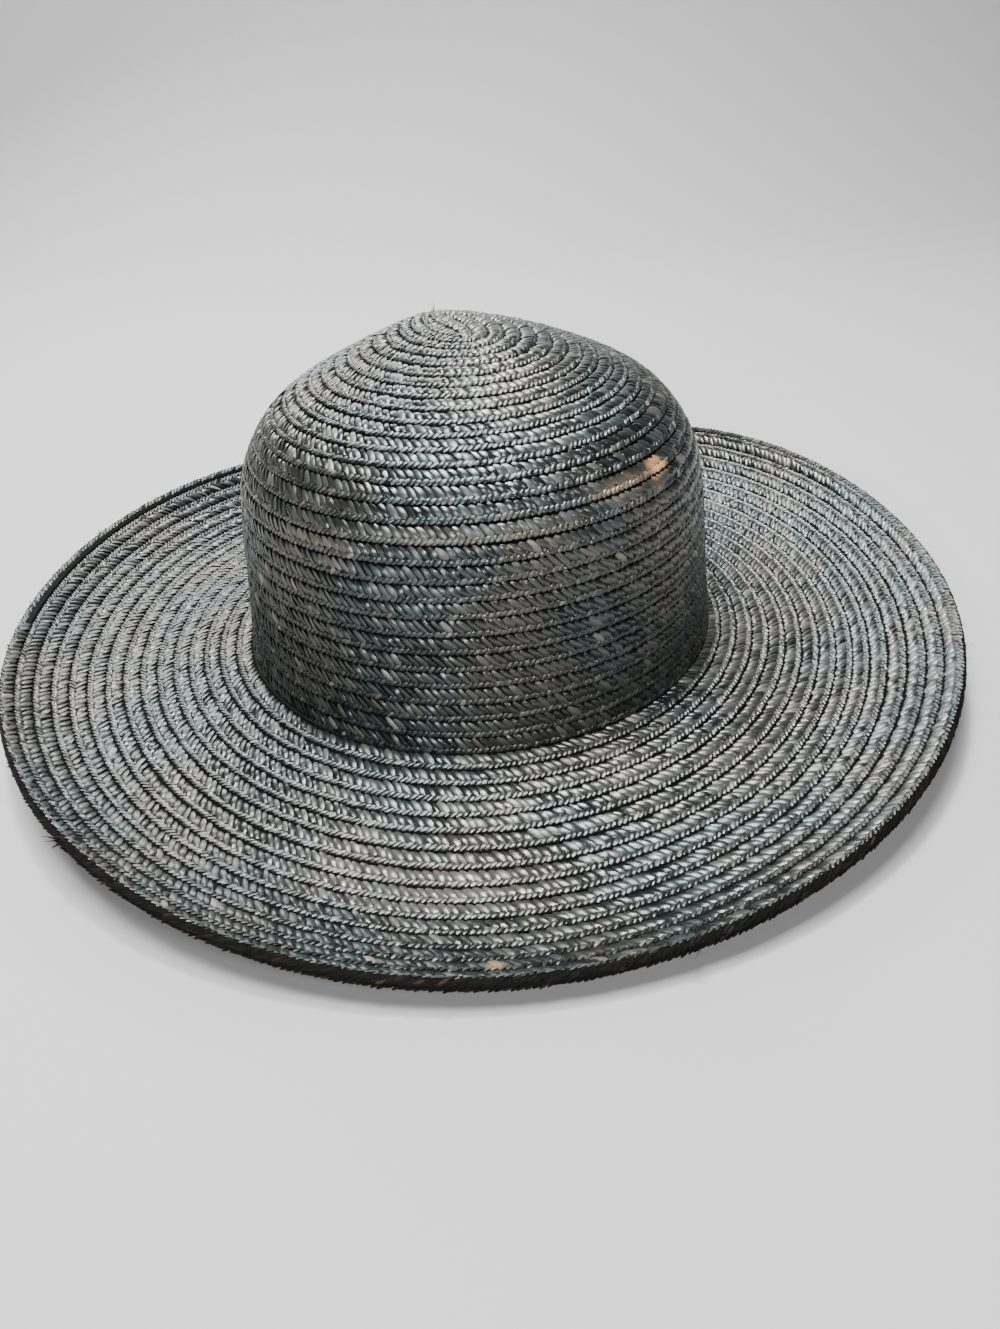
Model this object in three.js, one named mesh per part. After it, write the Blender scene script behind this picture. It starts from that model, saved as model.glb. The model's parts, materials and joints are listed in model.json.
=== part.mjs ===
// Sun hat sewn from one long straw plait: a domed crown, a brim that rolls up, and a doubled edge under the rim.
// Millimetres, +Z up, the front of the hat towards -Y. It rests on the lowest line of its brim.
import * as THREE from "three";

// The plait, and how it is sewn: each course covers the inner edge of the next one out.
const PLAIT_THICKNESS = 1.1;
const PIECE_GAP = 0.3;

// Crown. Widths, depths and heights are outside sizes above its foot.
const FOOT_HALF_WIDTH = 91;
const FOOT_HALF_DEPTH = 97.5;
const CROWN_HEIGHT = 114;
const CROWN_COURSES = 29;
const START_RUN_HALF = 16; // half the straight run that the plait starts with
const START_RUN_TURN = 20; // degrees from the front towards +X that the run is turned
const TIP_FORWARD = 3; // how far the tip lies in front of the middle of the foot
const TIP_ASIDE = 5; // and how far towards -X

// Sections of the crown from the foot to the tip: wide is a share of the foot's half sizes, up of the height.
const CROWN_SECTIONS = [
  { up: 0, wide: 1 },
  { up: 0.154, wide: 0.979 },
  { up: 0.308, wide: 0.961 },
  { up: 0.462, wide: 0.944 },
  { up: 0.606, wide: 0.911 },
  { up: 0.698, wide: 0.853 },
  { up: 0.773, wide: 0.773 },
  { up: 0.826, wide: 0.677 },
  { up: 0.872, wide: 0.56 },
  { up: 0.919, wide: 0.42 },
  { up: 0.961, wide: 0.27 },
  { up: 0.989, wide: 0.13 },
  { up: 1, wide: 0.02 },
];

// Brim, measured along its curve from the crown's foot to the rim.
const BRIM_WIDTH = 92.5;
const BRIM_COURSES = 15;
const EDGE_PLAIT_WIDTH = 6;
const EDGE_PLAIT_INSET = 1; // how far its outer edge stays inside the rim
const CONTACT_DEPTH = 1; // how much of the underside is pressed flat where the hat rests

// Eight sections of the brim, every 45 degrees from the front towards +X.
// footSlope and rimSlope are degrees up from level, going outwards; rollPower says how late the brim rolls up.
const BRIM_SECTIONS = [
  { footSlope: -17, rimSlope: 38, rollPower: 2.8 }, // front
  { footSlope: -13, rimSlope: 38, rollPower: 2.4 },
  { footSlope: -8, rimSlope: 38, rollPower: 1.6 }, // +X side
  { footSlope: -11, rimSlope: 57, rollPower: 1.6 },
  { footSlope: -21.5, rimSlope: 62, rollPower: 2.35 }, // back
  { footSlope: -12, rimSlope: 47, rollPower: 1.55 },
  { footSlope: -8, rimSlope: 37, rollPower: 1.6 }, // -X side
  { footSlope: -13, rimSlope: 44, rollPower: 2.3 },
];

// How finely the forms are cut.
const CROWN_SIDES = 44;
const BRIM_SIDES = 56;
const INNER_RINGS = 13;
const UNDER_RINGS = 11;
const SLOPE_STEPS = 24;

// Offsets from the guide surface, which runs half way up the step between two courses.
const EDGE_PROUD = PLAIT_THICKNESS / 2;
const EDGE_SUNK = -PLAIT_THICKNESS / 2;
const INNER_FACE = EDGE_SUNK - PLAIT_THICKNESS;

const radians = THREE.MathUtils.degToRad;

// The crown's outline from foot to tip, as half depth and height.
const crownCurve = new THREE.CatmullRomCurve3(
  CROWN_SECTIONS.map((s) => new THREE.Vector3(s.wide * FOOT_HALF_DEPTH, s.up * CROWN_HEIGHT, 0)),
  false,
  "centripetal",
);

// A point of the crown's guide surface: a share of the way up its outline, at an angle from the front towards +X.
function crownAt(share, angle) {
  const { x: depth, y: height } = crownCurve.getPointAt(THREE.MathUtils.clamp(share, 0, 1));
  const wide = depth / FOOT_HALF_DEPTH;
  const nearTip = (1 - wide) ** 3;
  const turn = radians(START_RUN_TURN);
  const run = START_RUN_HALF * nearTip * Math.cos(angle - turn);
  return new THREE.Vector3(
    wide * FOOT_HALF_WIDTH * Math.sin(angle) + run * Math.sin(turn) - TIP_ASIDE * nearTip,
    -depth * Math.cos(angle) - run * Math.cos(turn) - TIP_FORWARD * nearTip,
    height,
  );
}

// Slopes and roll of the brim all round, smooth through the eight sections.
const sectionCurve = new THREE.CatmullRomCurve3(
  BRIM_SECTIONS.map((s) => new THREE.Vector3(radians(s.footSlope), radians(s.rimSlope), s.rollPower)),
  true,
  "catmullrom",
);

// A point of the brim's guide surface: a share of the way from the foot to the rim, at an angle from the front.
function brimAt(share, angle) {
  const turn = THREE.MathUtils.euclideanModulo(angle / (2 * Math.PI), 1);
  const { x: footSlope, y: rimSlope, z: rollPower } = sectionCurve.getPoint(turn);
  let out = 0;
  let up = 0;
  const step = (share * BRIM_WIDTH) / SLOPE_STEPS;
  for (let i = 0; i < SLOPE_STEPS; i++) {
    const here = (share * (i + 0.5)) / SLOPE_STEPS;
    const slope = footSlope + (rimSlope - footSlope) * Math.max(here, 0) ** rollPower;
    out += Math.cos(slope) * step;
    up += Math.sin(slope) * step;
  }
  const away = new THREE.Vector2(
    Math.sin(angle) * FOOT_HALF_DEPTH,
    -Math.cos(angle) * FOOT_HALF_WIDTH,
  ).normalize();
  return new THREE.Vector3(
    FOOT_HALF_WIDTH * Math.sin(angle) + away.x * out,
    -FOOT_HALF_DEPTH * Math.cos(angle) + away.y * out,
    up,
  );
}

// The two guide surfaces. The sign turns the normal to the worn face: outwards on the crown, up on the brim.
const crownGuide = { at: crownAt, sign: 1 };
const brimGuide = { at: brimAt, sign: -1 };

// The guide point moved towards the worn face, along the surface's own normal.
function offsetPoint(guide, along, angle, offset) {
  const small = 1e-3;
  const point = guide.at(along, angle);
  const alongStep = guide.at(along + small, angle).sub(guide.at(along - small, angle));
  const roundStep = guide.at(along, angle + small).sub(guide.at(along, angle - small));
  return point.addScaledVector(roundStep.cross(alongStep).normalize(), guide.sign * offset);
}

// One ring of points round the hat, as seen by a function of the angle.
function ring(sides, pointAt) {
  return Array.from({ length: sides }, (_, i) => pointAt((2 * Math.PI * i) / sides));
}

// A closed solid from rings of equal count. Without end points the last ring joins the first.
function solidOfRings(rings, startPoint, endPoint) {
  const sides = rings[0].length;
  const corners = [];
  const push = (...points) => points.forEach((p) => corners.push(p.x, p.y, p.z));
  const pairs = startPoint ? rings.length - 1 : rings.length;
  for (let r = 0; r < pairs; r++) {
    const low = rings[r];
    const high = rings[(r + 1) % rings.length];
    for (let i = 0; i < sides; i++) {
      const j = (i + 1) % sides;
      push(low[i], low[j], high[j]);
      push(low[i], high[j], high[i]);
    }
  }
  if (startPoint) {
    const last = rings[rings.length - 1];
    for (let i = 0; i < sides; i++) {
      const j = (i + 1) % sides;
      push(rings[0][j], rings[0][i], startPoint);
      push(last[i], last[j], endPoint);
    }
  }
  const geometry = new THREE.BufferGeometry();
  geometry.setAttribute("position", new THREE.Float32BufferAttribute(corners, 3));
  return geometry;
}

// The middle of a ring, which closes the dome over the start of the plait.
function middleOf(points) {
  const sum = points.reduce((total, p) => total.add(p), new THREE.Vector3());
  return sum.divideScalar(points.length);
}

// Crown: a smooth inner face from the tip down to the foot, then the stepped courses back up to the tip.
function crownGeometry() {
  const seat = EDGE_SUNK + PIECE_GAP;
  const rings = [];
  for (let i = INNER_RINGS; i >= 0; i--) {
    rings.push(ring(CROWN_SIDES, (a) => offsetPoint(crownGuide, i / INNER_RINGS, a, INNER_FACE)));
  }
  rings[rings.length - 1].forEach((p) => p.setZ(seat));
  for (let k = 0; k < CROWN_COURSES; k++) {
    const share = k / CROWN_COURSES;
    if (k > 0) rings.push(ring(CROWN_SIDES, (a) => offsetPoint(crownGuide, share, a, EDGE_SUNK)));
    rings.push(ring(CROWN_SIDES, (a) => offsetPoint(crownGuide, share, a, EDGE_PROUD)));
    if (k === 0) rings[rings.length - 1].forEach((p) => p.setZ(seat));
  }
  rings.push(ring(CROWN_SIDES, (a) => offsetPoint(crownGuide, 1, a, EDGE_PROUD)));
  return solidOfRings(rings, middleOf(rings[0]), middleOf(rings[rings.length - 1]));
}

// Brim: the stepped upper face out to the rim, then the underside back to the edge inside the crown's foot.
function brimGeometry() {
  const inside = (level) => (a) => {
    const foot = brimAt(0, a);
    const away = brimAt(0.01, a).sub(foot).setZ(0).normalize();
    return foot.addScaledVector(away, INNER_FACE).setZ(level);
  };
  const rings = [ring(BRIM_SIDES, inside(EDGE_SUNK))];
  for (let k = 0; k < BRIM_COURSES; k++) {
    rings.push(ring(BRIM_SIDES, (a) => offsetPoint(brimGuide, k / BRIM_COURSES, a, EDGE_SUNK)));
    rings.push(ring(BRIM_SIDES, (a) => offsetPoint(brimGuide, (k + 1) / BRIM_COURSES, a, EDGE_PROUD)));
  }
  for (let i = UNDER_RINGS; i > 0; i--) {
    rings.push(ring(BRIM_SIDES, (a) => offsetPoint(brimGuide, i / UNDER_RINGS, a, INNER_FACE)));
  }
  rings.push(ring(BRIM_SIDES, inside(INNER_FACE)));
  return solidOfRings(rings.reverse());
}

// Edge plait: one more round under the rim, a gap below the brim's own underside.
function edgePlaitGeometry() {
  const outer = 1 - EDGE_PLAIT_INSET / BRIM_WIDTH;
  const inner = outer - EDGE_PLAIT_WIDTH / BRIM_WIDTH;
  const top = INNER_FACE - PIECE_GAP;
  const bottom = top - PLAIT_THICKNESS;
  const corner = (share, offset) => ring(BRIM_SIDES, (a) => offsetPoint(brimGuide, share, a, offset));
  return solidOfRings([
    corner(inner, bottom),
    corner(outer, bottom),
    corner(outer, top),
    corner(inner, top),
  ]);
}

// Presses flat whatever lies under the surface that the hat rests on.
function pressFlat(geometry, level) {
  const position = geometry.getAttribute("position");
  for (let i = 0; i < position.count; i++) {
    if (position.getZ(i) < level) position.setZ(i, level);
  }
  geometry.computeBoundingBox();
}

const straw = (color) => new THREE.MeshStandardMaterial({ color, roughness: 0.55, metalness: 0 });
const crown = new THREE.Mesh(crownGeometry(), straw(0x2c312f));
const brim = new THREE.Mesh(brimGeometry(), straw(0x34393a));
const edgePlait = new THREE.Mesh(edgePlaitGeometry(), straw(0x1a1a16));
crown.name = "crown";
brim.name = "brim";
edgePlait.name = "edge_plait";

const brimBox = new THREE.Box3().setFromObject(brim);
const rest = brimBox.min.z + CONTACT_DEPTH;
pressFlat(brim.geometry, rest);

// The origin is under the middle of the whole outline, on the surface that the hat rests on.
const hat = new THREE.Group();
hat.add(crown, brim, edgePlait);
const middle = new THREE.Box3().setFromObject(hat).getCenter(new THREE.Vector3());
for (const mesh of hat.children) mesh.position.set(-middle.x, -middle.y, -rest);

export default hat;
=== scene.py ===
import json
import logging
import math
from dataclasses import dataclass, field, replace
from enum import Enum
from typing import Any

import bmesh
import bpy
import numpy as np
from mathutils import Matrix, Vector

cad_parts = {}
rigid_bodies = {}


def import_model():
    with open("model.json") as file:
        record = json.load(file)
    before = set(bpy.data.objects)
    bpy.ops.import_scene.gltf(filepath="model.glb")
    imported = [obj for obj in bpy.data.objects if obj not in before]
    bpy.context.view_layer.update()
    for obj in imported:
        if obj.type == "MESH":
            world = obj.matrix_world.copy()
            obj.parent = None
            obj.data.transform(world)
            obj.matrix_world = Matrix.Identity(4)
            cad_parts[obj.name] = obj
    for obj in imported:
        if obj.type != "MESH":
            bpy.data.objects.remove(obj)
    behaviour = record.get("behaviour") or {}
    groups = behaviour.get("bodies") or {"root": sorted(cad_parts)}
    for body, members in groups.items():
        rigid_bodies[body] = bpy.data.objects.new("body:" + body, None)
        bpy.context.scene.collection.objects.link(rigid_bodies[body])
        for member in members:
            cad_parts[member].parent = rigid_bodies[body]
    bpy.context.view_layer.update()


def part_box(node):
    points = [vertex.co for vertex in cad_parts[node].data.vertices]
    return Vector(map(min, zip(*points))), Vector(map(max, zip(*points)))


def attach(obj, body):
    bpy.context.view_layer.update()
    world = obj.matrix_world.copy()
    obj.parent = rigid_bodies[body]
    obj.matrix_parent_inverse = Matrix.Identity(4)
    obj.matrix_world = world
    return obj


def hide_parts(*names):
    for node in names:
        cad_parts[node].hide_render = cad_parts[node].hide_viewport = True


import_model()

log = logging.getLogger("sun hat")
MM = 0.001
UP = np.array([0.0, 0.0, 1.0])
NUDGE = 1e-6  # courses, enough to fall on the brim's side of the crown's foot
Array = np.ndarray
Piece = bpy.types.Object
Socket = bpy.types.NodeSocket
Triple = tuple[float, float, float]
Pairs = tuple[tuple[float, float], ...]


class Side(Enum):
    """The two faces of the sewn straw."""

    WORN = "worn"
    LINING = "lining"


def unit(vectors: Array) -> Array:
    """Scales each vector to length one."""
    length = np.linalg.norm(vectors, axis=-1, keepdims=True)
    return vectors / np.maximum(length, 1e-12)


def smooth_step(x: Array, low: float, high: float) -> Array:
    """Rises smoothly from 0 at low to 1 at high."""
    t = np.clip((x - low) / (high - low), 0.0, 1.0)
    return t * t * (3.0 - 2.0 * t)


def cubic(p1: Array, p2: Array, start: Array, end: Array, t: Array) -> Array:
    """Follows the cubic between two points that has given slopes at its ends.

    Args:
        p1: the first point.
        p2: the second point.
        start: the slope at the first point.
        end: the slope at the second point.
        t: shares of the way from the first to the second.

    Returns:
        The point at each share.
    """
    return (
        p1
        + start * t
        + (-3 * p1 + 3 * p2 - 2 * start - end) * t**2
        + (2 * p1 - 2 * p2 + start + end) * t**3
    )


@dataclass
class HatShape:
    """The guide surface of the hat, in millimetres, from the tip of the crown to the rim.

    A place on it is a count of courses from the tip and an angle from the front towards +X.
    Crown sections are (share of the height, share of the foot's half sizes), from the foot up.
    Brim sections are (slope at the foot, slope at the rim, how late it rolls up), in degrees
    up from level, every 45 degrees from the front.
    """

    foot_half_width: float = 91.0
    foot_half_depth: float = 97.5
    crown_height: float = 114.0
    crown_courses: int = 29
    start_run_half: float = 16.0
    start_turn: float = 20.0
    tip_forward: float = 3.0
    tip_aside: float = 5.0
    tip_pull: int = 3
    flat_tip_courses: float = 1.4
    brim_width: float = 92.5
    brim_courses: int = 15
    slope_steps: int = 24
    samples_per_section: int = 40
    seat_drop: float = 0.25
    lowest: float = 0.15
    crown_sections: Pairs = (
        (0.0, 1.0), (0.154, 0.979), (0.308, 0.961), (0.462, 0.944), (0.606, 0.911), (0.698, 0.853),
        (0.773, 0.773), (0.826, 0.677), (0.872, 0.56), (0.919, 0.42), (0.961, 0.27), (0.989, 0.13),
        (1.0, 0.005),
    )
    brim_sections: tuple[Triple, ...] = (
        (-17.0, 38.0, 2.8), (-13.0, 38.0, 2.4), (-8.0, 38.0, 1.6), (-11.0, 57.0, 1.6),
        (-21.5, 62.0, 2.35), (-12.0, 47.0, 1.55), (-8.0, 37.0, 1.6), (-13.0, 44.0, 2.3),
    )
    foot: Array = field(init=False)
    _profile: Array = field(init=False, repr=False)
    _along: Array = field(init=False, repr=False)

    def __post_init__(self) -> None:
        """Finds the foot's middle from the crown's box and samples the crown's profile."""
        low, high = (np.array(corner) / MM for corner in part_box("crown"))
        middle = [(low[0] + high[0]) / 2, (low[1] + high[1]) / 2]
        self.foot = np.array([*middle, low[2] + self.seat_drop])
        self._profile = self._sample_profile()
        steps = np.linalg.norm(np.diff(self._profile, axis=0), axis=1)
        self._along = np.concatenate([[0.0], np.cumsum(steps)]) / steps.sum()

    def _sample_profile(self) -> Array:
        """Samples the centripetal curve through the crown's sections.

        Returns:
            Half depth and height of each sample, from the foot up.
        """
        depth, height = self.foot_half_depth, self.crown_height
        rows = [np.array([wide * depth, up * height]) for up, wide in self.crown_sections]
        points = [2 * rows[0] - rows[1], *rows, 2 * rows[-1] - rows[-2]]
        samples = []
        for i in range(1, len(points) - 2):
            p0, p1, p2, p3 = points[i - 1 : i + 3]
            spans = ((p1, p0), (p2, p1), (p3, p2))
            d0, d1, d2 = (float(np.linalg.norm(b - a)) ** 0.5 for b, a in spans)
            start = ((p1 - p0) / d0 - (p2 - p0) / (d0 + d1) + (p2 - p1) / d1) * d1
            end = ((p2 - p1) / d1 - (p3 - p1) / (d1 + d2) + (p3 - p2) / d2) * d1
            is_last = i == len(points) - 3
            t = np.linspace(0, 1, self.samples_per_section, endpoint=is_last)[:, None]
            samples.append(cubic(p1, p2, start, end, t))
        return np.concatenate(samples)

    def _crown(self, courses: Array, angle: Array) -> Array:
        """Finds points of the crown.

        Args:
            courses: courses from the tip.
            angle: angles from the front towards +X, in radians.

        Returns:
            Points in millimetres, relative to the foot's middle.
        """
        share = np.clip(1.0 - courses / self.crown_courses, 0.0, 1.0)
        depth = np.interp(share, self._along, self._profile[:, 0])
        height = np.interp(share, self._along, self._profile[:, 1])
        wide = depth / self.foot_half_depth
        near_tip = (1 - wide) ** self.tip_pull
        turn = math.radians(self.start_turn)
        run = self.start_run_half * near_tip * np.cos(angle - turn)
        aside, forward = self.tip_aside * near_tip, self.tip_forward * near_tip
        return np.stack(
            [
                wide * self.foot_half_width * np.sin(angle) - aside + run * math.sin(turn),
                -depth * np.cos(angle) - run * math.cos(turn) - forward,
                height,
            ],
            axis=-1,
        )

    def _brim(self, courses: Array, angle: Array) -> Array:
        """Finds points of the brim.

        Args:
            courses: courses from the tip.
            angle: angles from the front towards +X, in radians.

        Returns:
            Points in millimetres, relative to the foot's middle.
        """
        share = (courses - self.crown_courses) / self.brim_courses
        foot_slope, rim_slope, power = (self._section(angle, i) for i in range(3))
        foot_slope, rim_slope = np.radians(foot_slope), np.radians(rim_slope)
        out = np.zeros_like(share)
        rise = np.zeros_like(share)
        step = share * self.brim_width / self.slope_steps
        for i in range(self.slope_steps):
            here = np.maximum(share * (i + 0.5) / self.slope_steps, 0.0)
            slope = foot_slope + (rim_slope - foot_slope) * here**power
            out += np.cos(slope) * step
            rise += np.sin(slope) * step
        sine, cosine = np.sin(angle), np.cos(angle)
        away = [sine * self.foot_half_depth, -cosine * self.foot_half_width]
        away = unit(np.stack(away, axis=-1))
        return np.stack(
            [
                self.foot_half_width * sine + away[..., 0] * out,
                -self.foot_half_depth * cosine + away[..., 1] * out,
                rise,
            ],
            axis=-1,
        )

    def _section(self, angle: Array, column: int) -> Array:
        """Reads one column of the brim's sections, smooth all round.

        Args:
            angle: angles from the front towards +X, in radians.
            column: 0 for the foot slope, 1 for the rim slope, 2 for the roll's power.

        Returns:
            The value at each angle.
        """
        rows = np.array([row[column] for row in self.brim_sections])
        place = np.mod(angle / (2 * np.pi), 1.0) * len(rows)
        at = np.floor(place).astype(int)
        p0, p1, p2, p3 = (rows[(at + k) % len(rows)] for k in (-1, 0, 1, 2))
        return cubic(p1, p2, (p2 - p0) / 2, (p3 - p1) / 2, place - at)

    def guide(self, courses: Array, angle: Array) -> Array:
        """Points of the guide surface, relative to the foot's middle."""
        on_crown = (courses <= self.crown_courses)[..., None]
        return np.where(on_crown, self._crown(courses, angle), self._brim(courses, angle))

    def normal(self, courses: Array, angle: Array) -> Array:
        """Finds the way straight out of the worn face.

        Args:
            courses: courses from the tip.
            angle: angles from the front towards +X, in radians.

        Returns:
            Vectors of length one.
        """
        small, small_angle = 0.02, 1e-3
        foot = float(self.crown_courses)
        on_brim = courses > foot
        lowest = np.where(on_brim, foot + NUDGE, 0.0)
        inner = np.maximum(courses - small, lowest)
        outer = np.where(on_brim, courses + small, np.minimum(courses + small, foot))
        across = self.guide(inner, angle) - self.guide(outer, angle)
        around = self.guide(courses, angle + small_angle) - self.guide(courses, angle - small_angle)
        found = unit(np.cross(around, across))
        flat = (1.0 - smooth_step(courses, 0.0, self.flat_tip_courses))[..., None]
        return unit(found * (1 - flat) + UP * flat)

    def place(self, courses: Array, angle: Array, offset: Array) -> Array:
        """Points off the guide surface in the part's frame.

        Args:
            courses: courses from the tip.
            angle: angles from the front towards +X, in radians.
            offset: distance towards the worn face, in millimetres.

        Returns:
            Points in millimetres, none below the surface that the hat rests on.
        """
        points = self.guide(courses, angle) + self.normal(courses, angle) * offset[..., None]
        points = points + self.foot
        points[..., 2] = np.maximum(points[..., 2], self.lowest)
        return points


@dataclass
class PlaitSection:
    """The cross section of one course, from its inner edge (0) to its outer edge (1).

    Heights are millimetres towards the worn face, measured from the guide surface.
    """

    worn: Pairs = (
        (0.0, -1.2), (0.045, -1.15), (0.075, -0.5), (0.17, -0.2), (0.45, -0.02), (0.75, 0.12),
        (0.9, 0.06), (1.0, -0.24),
    )
    lining: Pairs = (
        (0.0, -1.45), (0.05, -1.74), (0.16, -1.82), (0.45, -1.66), (0.8, -1.48), (0.92, -1.36),
        (1.0, -1.3),
    )
    tip_swell: float = 0.75
    tip_swell_base: float = 0.25
    tip_swell_courses: tuple[float, float] = (3.0, 12.0)

    def rows(self, side: Side) -> Pairs:
        """The section of one face."""
        return self.worn if side is Side.WORN else self.lining

    def height(self, side: Side, across: Array, courses: Array) -> Array:
        """Finds the height of a course's face; the first turns stand up as round cords.

        Args:
            side: the face.
            across: shares of the course's width.
            courses: courses from the tip.

        Returns:
            Heights in millimetres.
        """
        rows = self.rows(side)
        flat = np.interp(across, [row[0] for row in rows], [row[1] for row in rows])
        if side is Side.LINING:
            return flat
        near_tip = 1.0 - smooth_step(courses, *self.tip_swell_courses)
        cord = np.sin(np.pi * np.clip(across, 0.0, 1.0)) - self.tip_swell_base
        return flat + self.tip_swell * near_tip * cord


@dataclass
class Spiral:
    """The way the plait is sewn: one long spiral from the tip of the crown to the rim.

    Each sway is a size, a rate and a start. They fade out over the first and the last turns.
    """

    shape: HatShape
    section: PlaitSection
    start_angle: float = math.radians(20.0)
    wander: float = 0.035
    sways: tuple[Triple, ...] = ((1.0, 5.3, 0.0), (0.8, 11.9, 1.0), (0.6, 23.7, 2.0))
    first_turns: tuple[float, float] = (1.0, 4.0)
    last_turns: tuple[float, float] = (42.0, 44.0)

    def angle(self, turns: Array) -> Array:
        """Angle of the plait after a number of turns, running from the front towards -X."""
        return self.start_angle - 2 * np.pi * turns

    def courses(self, turns: Array, across: Array) -> Array:
        """Courses from the tip at a place across the plait, between its two edges."""
        return self._edge(turns - 1.0) * (1.0 - across) + self._edge(turns) * across

    def _edge(self, turns: Array) -> Array:
        """Places the line between two turns, with a hand's slight wander.

        Args:
            turns: turns from the tip.

        Returns:
            Courses from the tip.
        """
        sway = sum(size * np.sin(turns * rate + start) for size, rate, start in self.sways)
        fade = smooth_step(turns, *self.first_turns) * (1.0 - smooth_step(turns, *self.last_turns))
        return turns + self.wander * sway * fade


def add_object(name: str, data: bpy.types.ID) -> Piece:
    """Puts new data into the scene.

    Args:
        name: the object's name.
        data: the mesh, light or camera.

    Returns:
        The new object.
    """
    made = bpy.data.objects.new(name, data)
    bpy.context.scene.collection.objects.link(made)
    return made


def grid_faces(index: Array) -> Array:
    """The four corners of each cell in a grid of point indices."""
    corners = [index[:-1, :-1], index[:-1, 1:], index[1:, 1:], index[1:, :-1]]
    return np.stack(corners, axis=-1).reshape(-1, 4)


def mesh_object(name: str, points: Array, faces: Array | list) -> Piece:
    """Makes a smooth mesh object in the scene.

    Args:
        name: the piece's name.
        points: points in metres, in the part's frame.
        faces: corner indices of each face.

    Returns:
        The new object.
    """
    mesh = bpy.data.meshes.new(name)
    corners = [tuple(int(i) for i in face) for face in faces]
    mesh.from_pydata([tuple(point) for point in points], [], corners)
    mesh.validate()
    mesh.shade_smooth()
    return add_object(name, mesh)


def store(mesh: bpy.types.Mesh, name: str, values: Array, is_vector: bool = False) -> None:
    """Stores a value or a vector at each point of a mesh.

    Args:
        mesh: the mesh.
        name: the attribute's name.
        values: one value or vector for each point.
        is_vector: whether they are vectors.
    """
    stored = mesh.attributes.new(name, "FLOAT_VECTOR" if is_vector else "FLOAT", "POINT")
    flat = np.asarray(values, np.float32).ravel()
    stored.data.foreach_set("vector" if is_vector else "value", flat)


def solid(colour: Triple) -> tuple[float, float, float, float]:
    """A colour with nothing seen through it."""
    return (*colour, 1.0)


@dataclass
class Wiring:
    """A node tree, with short ways to add nodes that are set and joined at once."""

    tree: bpy.types.NodeTree

    def add(
        self, kind: str, output: str | int, inputs: dict | None = None, **settings: Any
    ) -> Socket:
        """Adds one node.

        Args:
            kind: the node's type.
            output: the output that is wanted, by name or place.
            inputs: a value, or the output that feeds it, for each input by name or place.
            settings: the node's own settings.

        Returns:
            The output.
        """
        node = self.tree.nodes.new(kind)
        for name, value in settings.items():
            setattr(node, name, value)
        self.feed(node, inputs or {})
        return node.outputs[output]

    def feed(self, node: bpy.types.Node, inputs: dict) -> None:
        """Sets or joins some inputs of a node.

        Args:
            node: the node.
            inputs: a value, or the output that feeds it, for each input.
        """
        for key, value in inputs.items():
            if isinstance(value, Socket):
                self.tree.links.new(value, node.inputs[key])
            else:
                node.inputs[key].default_value = value

    def calc(self, operation: str, *terms: Any) -> Socket:
        """Works out one number from others."""
        return self.add("ShaderNodeMath", "Value", dict(enumerate(terms)), operation=operation)

    def mix(self, share: Any, first: Any, second: Any) -> Socket:
        """Blends two colours."""
        inputs = {"Factor": share, "A": first, "B": second}
        return self.add("ShaderNodeMix", "Result", inputs, data_type="RGBA")

    def remap(
        self,
        value: Socket,
        reach: tuple[float, float],
        result: tuple[float, float] = (0.0, 1.0),
        **settings: Any,
    ) -> Socket:
        """Turns one range of numbers into another.

        Args:
            value: the number.
            reach: the range that it comes from.
            result: the range that it goes to.
            settings: the node's own settings.

        Returns:
            The new number, held inside its range.
        """
        inputs = {"Value": value, "From Min": reach[0], "From Max": reach[1]}
        inputs |= {"To Min": result[0], "To Max": result[1]}
        return self.add("ShaderNodeMapRange", "Result", inputs, **settings)

    def noise(self, place: Socket, scale: float, detail: float) -> Socket:
        """Adds an uneven pattern."""
        inputs = {"Vector": place, "Scale": scale, "Detail": detail}
        return self.add("ShaderNodeTexNoise", "Fac", inputs)

    def bump(self, height: Socket, strength: float, depth: float) -> Socket:
        """Raises a grain, with its depth in metres."""
        inputs = {"Height": height, "Strength": strength, "Distance": depth}
        return self.add("ShaderNodeBump", "Normal", inputs)

    def attribute(self, name: str, output: str = "Fac") -> Socket:
        """Reads what is stored on a mesh."""
        return self.add("ShaderNodeAttribute", output, attribute_name=name)


def new_material(name: str) -> tuple[bpy.types.Material, Wiring, bpy.types.Node]:
    """Makes an empty material.

    Args:
        name: the material's name.

    Returns:
        The material, its wiring and its surface node.
    """
    made = bpy.data.materials.new(name)
    made.use_nodes = True
    return made, Wiring(made.node_tree), made.node_tree.nodes["Principled BSDF"]


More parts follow.
